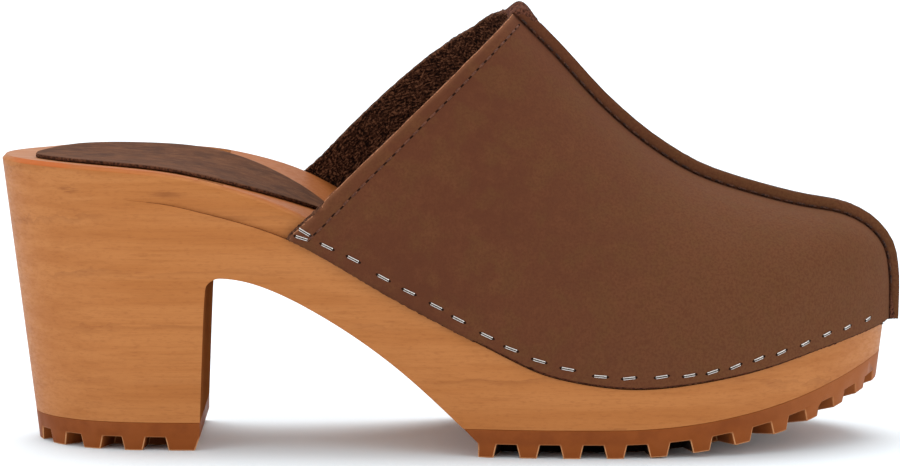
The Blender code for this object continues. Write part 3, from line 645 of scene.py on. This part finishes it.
def markBed(wood):  # the foot bed and its rounded rim, on the plain form
    flat = [f for f in wood.data.polygons if f.normal.z > woodLook["faceUp"]]
    onBed = {v for face in flat if face.area > woodLook["bedFace"] or face.center.x < woodLook["backEnd"]
             for v in face.vertices}
    least, most = woodLook["rimTilt"]
    rim = [f.index for f in wood.data.polygons if least < f.normal.z < most
           and f.center.z > woodLook["rimLow"] and len(onBed.intersection(f.vertices)) > 1]
    step = [f.index for f in flat if f.area < woodLook["bedFace"] and f.center.x > woodLook["stepStart"]]
    front = [f.index for f in wood.data.polygons
             if f.normal.x > woodLook["faceAhead"] and f.center.x < woodLook["frontEnd"]]
    for slotNumber, faces in enumerate((rim, step, front), 1):  # the plain wood has the first slot
        paintFaces(wood, faces, slotNumber, False)
    share = [float(v.index in onBed) for v in wood.data.vertices]
    wood.data.attributes.new("bedShare", "FLOAT", "POINT").data.foreach_set("value", share)


wood = makeWood()
setOnShoe(wood, ["sole_block"])
print("wooden sole made,", len(wood.data.polygons), "faces")


# rubber under the forefoot and the heel
plainGum, mouldedEdge, darkNotch = range(3)  # its material slots
gumLook = {
    "flatAngle": 2.0, "bevelAngle": 35, "shadeAngle": 40, "steps": 40,
    "weld": 0.2 * mm, "edge": 0.3 * mm, "join": 0.28 * mm,
    "mid": linear(130, 66, 21), "deep": linear(118, 58, 19), "lug": linear(131, 67, 23),
    "toe": linear(150, 86, 43), "toeRun": (75 * mm, 112 * mm), "pale": linear(192, 136, 92),
    # shade: the forefoot notches' deep faces are painted near black, as painted shade
    "shade": linear(22, 11, 6), "shadeEnd": 70 * mm,
    "deepIn": (4 * mm, 9 * mm),  # for the sides of a notch, and for its back and edges
    "faceUp": 0.6, "flatFace": 0.9, "notchSide": 0.7,
    "lugHeight": 3.7 * mm, "springStart": 44.5 * mm, "springRadius": 180 * mm,
}


def gumFinish(name, base, other, lug):
    finish = Finish(name, 0.6, 0.14)
    cloud = finish.noise(140, 4, 0.6)
    speck = finish.noise(2200, 2, 0.5)
    place = finish.add("ShaderNodeSeparateXYZ", {"Vector": finish.place}).outputs
    sprung = finish.math("MAXIMUM", finish.math("SUBTRACT", place["X"], gumLook["springStart"]))
    lift = finish.math("DIVIDE", finish.math("POWER", sprung, 2.0), 2 * gumLook["springRadius"])
    height = finish.math("SUBTRACT", place["Z"], lift)
    tone = finish.mix(finish.ramp(cloud, 0.35, 0.7), base, other)
    # painted light: parts below the band mix towards the third colour, as if lit from below
    top = gumLook["lugHeight"]
    tone = finish.mix(finish.ramp(height, 0.7 * top, 1.2 * top, 1.0, 0.0), tone, lug)
    # painted light: the rubber lightens towards the toe, where more light falls
    tone = finish.mix(finish.ramp(place["X"], *gumLook["toeRun"], 0.0, 0.75), tone, gumLook["toe"])
    tone = finish.mix(finish.ramp(speck, 0.5, 0.8, 0.0, 0.2), tone, gumLook["deep"])
    return finish.wear(tone, finish.ramp(cloud, 0.3, 0.7, 0.52, 0.66), finish.bump(speck, 0.2, 0.08 * mm))


gum = gumFinish("gumRubber", gumLook["mid"], gumLook["deep"], gumLook["lug"])
# the bevels, painted paler towards the bottom: painted highlight along the lug edges
gumEdgeHighlight = gumFinish("gumEdgeHighlight", gumLook["lug"], gumLook["mid"], gumLook["pale"])
# near-black notch insides: painted shade
gumGrooveShade = gumFinish("gumGrooveShade", gumLook["shade"], gumLook["shade"], gumLook["shade"])


def makeRubber(node, pieceName):
    rubber = copyNode(node, pieceName)
    for finish in (gum, gumEdgeHighlight, gumGrooveShade):
        rubber.data.materials.append(finish)
    openMesh(rubber, "FACE")
    bpy.ops.mesh.select_all(action="SELECT")
    bpy.ops.mesh.dissolve_limited(angle_limit=math.radians(gumLook["flatAngle"]))
    bpy.ops.mesh.remove_doubles(threshold=gumLook["weld"])
    closeMesh()
    openOn(rubber, "FACE", [f.index for f in rubber.data.polygons if f.normal.z > gumLook["faceUp"]])
    bpy.ops.transform.translate(value=(0, 0, gumLook["join"]))  # up to the wood it is glued to
    closeMesh()
    rim = topOutline(rubber)
    edge = rubber.modifiers.new("mouldEdge", "BEVEL")
    edge.width = gumLook["edge"]
    edge.segments = 2
    edge.limit_method = "ANGLE"
    edge.angle_limit = math.radians(gumLook["bevelAngle"])
    # the bevels take the slot painted with a highlight
    edge.material = mouldedEdge
    edge.use_clamp_overlap = False
    edge.loop_slide = False
    pick(rubber)
    bpy.ops.object.modifier_apply(modifier=edge.name)
    near, far = gumLook["deepIn"]
    # the forefoot notches' deep faces get the near-black slot: painted shade
    inner = []
    for face in rubber.data.polygons:
        onSide = abs(face.normal.x) > gumLook["notchSide"] and face.material_index == plainGum
        deep = rim.find((face.center.x, face.center.y, 0))[2] > (near if onSide else far)
        if deep and abs(face.normal.z) < gumLook["flatFace"] and 0 < face.center.x < gumLook["shadeEnd"]:
            inner.append(face.index)
    paintFaces(rubber, inner, darkNotch, False)
    softShade(rubber, gumLook["shadeAngle"])
    setOnShoe(rubber, [node])
    print(pieceName, "made,", len(rubber.data.polygons), "faces")


def topOutline(rubber):  # for the distance to the outline of its top, seen from above
    tops = {key for f in rubber.data.polygons if f.normal.z > gumLook["faceUp"] for key in f.edge_keys}
    sides = {key for f in rubber.data.polygons if f.normal.z < gumLook["faceUp"] for key in f.edge_keys}
    corners = rubber.data.vertices
    outline = [corners[a].co.lerp(corners[b].co, step / gumLook["steps"]).to_2d().to_3d()
               for a, b in sorted(tops & sides) for step in range(gumLook["steps"])]
    rim = KDTree(len(outline))
    for number, point in enumerate(outline):
        rim.insert(point, number)
    rim.balance()
    return rim


makeRubber("outsole_forefoot", "forefootRubber")
makeRubber("outsole_heel", "heelRubber")


# the heel sock on the bed
sockLook = {
    "sharpAngle": 40, "cutCrease": 0.8, "levels": 2, "shadeAngle": 50, "faceUp": 0.6,
    "mid": linear(88, 51, 28), "deep": linear(68, 38, 21), "pale": linear(113, 72, 45),
    "edge": {"deep": linear(36, 18, 11), "pale": linear(98, 60, 41)},
}


def sockFinish():
    finish = Finish("sockLeather", 0.85, 0.12)
    cloud = finish.noise(90, 5, 0.65)
    scuff = finish.noise(420, 4, 0.65, finish.stretched((0.5, 1, 1)))
    nap = finish.noise(2400, 3, 0.6)
    tone = finish.mix(finish.ramp(cloud, 0.38, 0.66), sockLook["mid"], sockLook["deep"])
    tone = finish.mix(finish.ramp(scuff, 0.42, 0.7, 0.0, 0.6), tone, sockLook["pale"])
    tone = finish.mix(finish.ramp(nap, 0.4, 0.75, 0.0, 0.3), tone, sockLook["deep"])
    return finish.wear(tone, None, finish.bump(nap, 0.35, 0.15 * mm))


def makeSock():
    sock = copyNode("insole_pad", "heelSock")
    sock.data.materials.append(sockFinish())
    sock.data.materials.append(fibreFinish("sockEdge", sockLook["edge"]))
    creaseSharp(sock, sockLook["sharpAngle"], sockLook["cutCrease"])
    cut = [f.index for f in sock.data.polygons if abs(f.normal.z) < sockLook["faceUp"]]
    paintFaces(sock, cut, 1, False)  # the second slot
    roundForm(sock, sockLook["levels"])
    softShade(sock, sockLook["shadeAngle"])
    return sock


sock = makeSock()
setOnShoe(sock, ["insole_pad"])
print("heel sock made,", len(sock.data.polygons), "faces")


# staples along the upper's lower edge
stapleLook = {
    "crown": 2.5 * mm, "wide": 0.74 * mm, "thick": 0.42 * mm, "bend": 0.42 * mm, "leg": 1.0 * mm,
    "round": 0.17 * mm, "bevelAngle": 50, "shadeAngle": 60, "lift": 0.1 * mm,
    "turn": (1.0, 9.0, 1.5),  # degrees at the back, at the toe, and the spread
    "toeLength": 0.72, "seed": 11, "hole": (1.5 * mm, 0.8 * mm, 0.2 * mm), "metal": 0.6,
    # dull: the wire's flats, painted dark as a painted reflection of dark surroundings; bright: its rounded
    # edges, painted near white as painted highlights
    "dull": (linear(84, 70, 60), linear(52, 42, 35)),
    "bright": (linear(250, 248, 245), linear(232, 229, 225)),
    # pit: near-black tones for the holes, painted shade
    "pit": (linear(16, 9, 6), linear(44, 26, 18)),
}


def wireFinish(name, bright, dull):
    finish = Finish(name, 0.3, 0.5)
    finish.shader.inputs["Metallic"].default_value = stapleLook["metal"]
    drawn = finish.noise(1500, 3, 0.6)
    tone = finish.mix(finish.ramp(drawn, 0.35, 0.75), bright, dull)
    return finish.wear(tone, finish.ramp(drawn, 0.3, 0.7, 0.26, 0.4))


def holeFinish():
    finish = Finish("punchedHole", 0.95, 0.05)
    pitNoise = finish.noise(2500, 2, 0.5)
    tone = finish.mix(pitNoise, *stapleLook["pit"])
    return finish.wear(tone, None, finish.bump(pitNoise, 0.4, 0.1 * mm))


def bendStaple():  # crown along X, legs down
    bpy.ops.mesh.primitive_cube_add(size=1)
    staple = bpy.context.object
    staple.name = staple.data.name = "stapleMaster"
    bpy.ops.transform.resize(value=(stapleLook["crown"], stapleLook["wide"], stapleLook["thick"]))
    bpy.ops.object.transform_apply(scale=True)
    for end in (-1, 1):
        openOn(staple, "FACE", [f.index for f in staple.data.polygons
                                if f.normal.x * end > 0.9 and f.center.x * end > 0])
        bpy.ops.mesh.spin(steps=3, angle=-end * math.pi / 2, axis=(0, 1, 0),
                          center=(end * stapleLook["crown"] / 2, 0, -stapleLook["bend"]))
        bpy.ops.mesh.extrude_region_move(TRANSFORM_OT_translate={"value": (0, 0, -stapleLook["leg"])})
        closeMesh()
    openMesh(staple, "FACE")
    bpy.ops.mesh.select_all(action="SELECT")
    bpy.ops.mesh.normals_make_consistent(inside=False)
    closeMesh()
    # the rounded edges take the near-white slot, a painted highlight; the flats keep the dark one, a painted
    # reflection
    soft = staple.modifiers.new("wireRound", "BEVEL")
    soft.width = stapleLook["round"]
    soft.segments = 2
    soft.limit_method = "ANGLE"
    soft.angle_limit = math.radians(stapleLook["bevelAngle"])
    soft.material = 1  # the bright slot
    staple.data.materials.append(wireFinish("darkReflectionWire", *stapleLook["dull"]))
    staple.data.materials.append(wireFinish("highlightWire", *stapleLook["bright"]))
    bpy.ops.object.modifier_apply(modifier=soft.name)
    softShade(staple, stapleLook["shadeAngle"])
    return staple


# holes are drawn as flat near-black pits: painted shade standing in for each hole's depth
def punchHole():  # a flat dark pit
    bpy.ops.mesh.primitive_uv_sphere_add(segments=10, ring_count=5, radius=1)
    hole = bpy.context.object
    hole.name = hole.data.name = "holeMaster"
    bpy.ops.transform.resize(value=[s / 2 for s in stapleLook["hole"]])
    bpy.ops.object.transform_apply(scale=True)
    softShade(hole, stapleLook["shadeAngle"])
    hole.data.materials.append(holeFinish())
    return hole


def setCopies(master, places, pieceName):  # one copy at each place, joined
    copies = []
    for place in places:
        pick(master)
        bpy.ops.object.duplicate()
        copy = bpy.context.object
        copy.data.transform(place)
        copies.append(copy)
    for copy in copies:
        copy.select_set(True)
    bpy.context.view_layer.objects.active = copies[0]
    bpy.ops.object.join()
    copies[0].name = copies[0].data.name = pieceName
    return copies[0]


def surfaceOf(piece, slotNumber):  # for finding places on one kind of a piece's faces
    faces = [tuple(f.vertices) for f in piece.data.polygons if f.material_index == slotNumber]
    return BVHTree.FromPolygons([v.co for v in piece.data.vertices], faces)


def seat(point, along, outward, lift, turn=0.0):  # a place on a surface: X along, Z out of it
    side = outward.cross(along).normalized()
    along = side.cross(outward).normalized()
    axes = Matrix((along, side, outward)).transposed().to_4x4()
    return Matrix.Translation(point + lift * outward) @ axes @ Matrix.Rotation(turn, 4, "Z")


outside = surfaceOf(upper, grainSide)
stapleMaster, holeMaster = bendStaple(), punchHole()
chance = random.Random(stapleLook["seed"])
holePlaces = []
for side in ("lateral", "medial"):
    nodes = sorted(n for n in frame["nodes"] if n.startswith("staple_" + side))
    centres = [sum(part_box(n), Vector()) / 2 for n in nodes]
    places = []
    for i, centre in enumerate(centres):
        ahead = centres[max(i + 1, 2)] if i + 1 < len(centres) else centre
        behind = centres[i - 1] if i > 1 else centre  # the first two are a pair
        along = (ahead - behind).normalized()
        point, outward = outside.find_nearest(centre)[:2]
        first, last, spread = stapleLook["turn"]  # they lean more towards the toe
        turn = first + (last - first) * i / len(centres) + chance.uniform(-spread, spread)
        turn = math.radians(turn) * (1 if side == "lateral" else -1)
        short = 1 - (1 - stapleLook["toeLength"]) * max(2 * i / len(centres) - 1, 0)
        place = seat(point, along, outward, stapleLook["lift"], turn) @ Matrix.Diagonal((short, 1, 1, 1))
        places.append(place)
        reach = stapleLook["crown"] / 2 + stapleLook["bend"]
        for end in (-1, 1):
            rim = outside.find_nearest(place @ Vector((end * reach, 0, 0)))
            holePlaces.append(seat(rim[0], along, rim[1], 0.0, turn))
    staples = setCopies(stapleMaster, places, side + "Staples")
    setOnShoe(staples, nodes)
print("staples set,", len(holePlaces), "legs")


# thread: a row inside the collar's edge, and a row at the foot of the raised seam
threadLook = {
    "pitch": 3.4 * mm, "length": 2.8 * mm, "wide": 0.6 * mm, "high": 0.45 * mm, "dive": 0.2 * mm,
    "endShare": 0.4, "shadeAngle": 80, "lift": 0.04 * mm, "hole": (1.25, 0.68),
    "collarInset": (4.6 * mm, 3.1 * mm), "collarEnds": (4.6 * mm, 0.4 * mm),
    "seamRise": 0.1 * mm, "seamEnds": (2.0 * mm, 3.0 * mm),
    # the seam's thread is darker than the collar's: painted shade of the valley it lies in
    "collar": (linear(66, 34, 20), linear(104, 60, 39)), "seam": (linear(34, 17, 10), linear(88, 50, 31)),
}


def threadFinish(name, deep, pale):
    finish = Finish(name, 0.75, 0.3)
    twist = finish.noise(1900, 2, 0.5)
    tone = finish.mix(finish.ramp(twist, 0.35, 0.7), deep, pale)
    return finish.wear(tone, None, finish.bump(twist, 0.6, 0.12 * mm))


def makeStitch():  # one stitch along X, its ends going down
    bpy.ops.mesh.primitive_uv_sphere_add(segments=8, ring_count=8, radius=0.5)
    stitch = bpy.context.object
    stitch.name = stitch.data.name = "stitchMaster"
    bpy.ops.transform.rotate(value=math.pi / 2, orient_axis="Y", center_override=(0, 0, 0))
    bpy.ops.object.transform_apply(rotation=True)
    bpy.ops.transform.resize(value=(threadLook["length"], threadLook["wide"], threadLook["high"]))
    bpy.ops.object.transform_apply(scale=True)
    reach = threadLook["endShare"] * threadLook["length"]
    openOn(stitch, "VERT", [v.index for v in stitch.data.vertices if abs(v.co.x) > reach])
    bpy.ops.transform.translate(value=(0, 0, -threadLook["dive"]))
    closeMesh()
    softShade(stitch, threadLook["shadeAngle"])
    stitch.data.materials.append(threadFinish("brownThread", *threadLook["collar"]))
    return stitch


def borderPoints(piece, first, second, wanted):  # middles of the edges between two kinds of face
    edges = [piece.data.edges[i] for i in borderEdges(piece, first, second, wanted)]
    return [sum((piece.data.vertices[v].co for v in edge.vertices), Vector()) / 2 for edge in edges]


def besideSeam(side):  # for choosing the faces on one side of the seam
    return lambda face: (face.center.y - seamAcross(face.center.x)) * side > 0


def walk(points, pitch, start, stop):  # even places along a line of points, with the line's direction
    lengths = [0.0]
    for a, b in zip(points, points[1:]):
        lengths.append(lengths[-1] + (b - a).length)
    at = start
    while at < lengths[-1] - stop:
        i = max(k for k in range(len(lengths) - 1) if lengths[k] <= at)
        share = (at - lengths[i]) / max(lengths[i + 1] - lengths[i], 1e-9)
        ahead, behind = points[min(i + 3, len(points) - 1)], points[max(i - 2, 0)]
        yield points[i].lerp(points[i + 1], share), (ahead - behind).normalized()
        at += pitch


stitchMaster = makeStitch()
collarPlaces, seamPlaces = [], []
for side in (-1, 1):
    collar = sorted(borderPoints(upper, grainSide, wornFace, besideSeam(side)), key=lambda p: p.z)
    bottom, top = threadLook["collarInset"]
    for point, along in walk(collar, threadLook["pitch"], *threadLook["collarEnds"]):
        outward = outside.find_nearest(point)[1]
        inward = outward.cross(along)
        inward = inward if inward.x > 0 else -inward
        inset = bottom + (top - bottom) * (point.z - collar[0].z) / (collar[-1].z - collar[0].z)
        spot, outward = outside.find_nearest(point + inward.normalized() * inset)[:2]
        place = seat(spot, along, outward, threadLook["lift"])
        collarPlaces.append(place)
        prick = outside.find_nearest(place @ Vector((threadLook["pitch"] / 2, 0, 0)))
        shrink = Matrix.Diagonal((*threadLook["hole"], 1, 1))
        holePlaces.append(seat(prick[0], along, prick[1], 0.0) @ shrink)
    valley = sorted(borderPoints(upper, seamSide, gapFace, besideSeam(side)), key=lambda p: p.x - p.z)
    for point, along in walk(valley, threadLook["pitch"], *threadLook["seamEnds"]):
        outward = Vector((0, side, 0))
        rise = along.cross(outward)
        rise = rise if rise.x + rise.z > 0 else -rise
        seamPlaces.append(seat(point + rise * threadLook["seamRise"], along, outward, threadLook["lift"]))
collarRow = setCopies(stitchMaster, collarPlaces, "collarStitches")
setOnShoe(collarRow)
seamRow = setCopies(stitchMaster, seamPlaces, "seamStitches")
# the darker seam thread: painted shade of the valley
seamRow.data.materials[0] = threadFinish("seamThread", *threadLook["seam"])
setOnShoe(seamRow)
holes = setCopies(holeMaster, holePlaces, "punchedHoles")
setOnShoe(holes)
for master in (stapleMaster, holeMaster, stitchMaster):
    bpy.data.objects.remove(master)
print("thread sewn,", len(collarPlaces), "collar and", len(seamPlaces), "seam stitches")
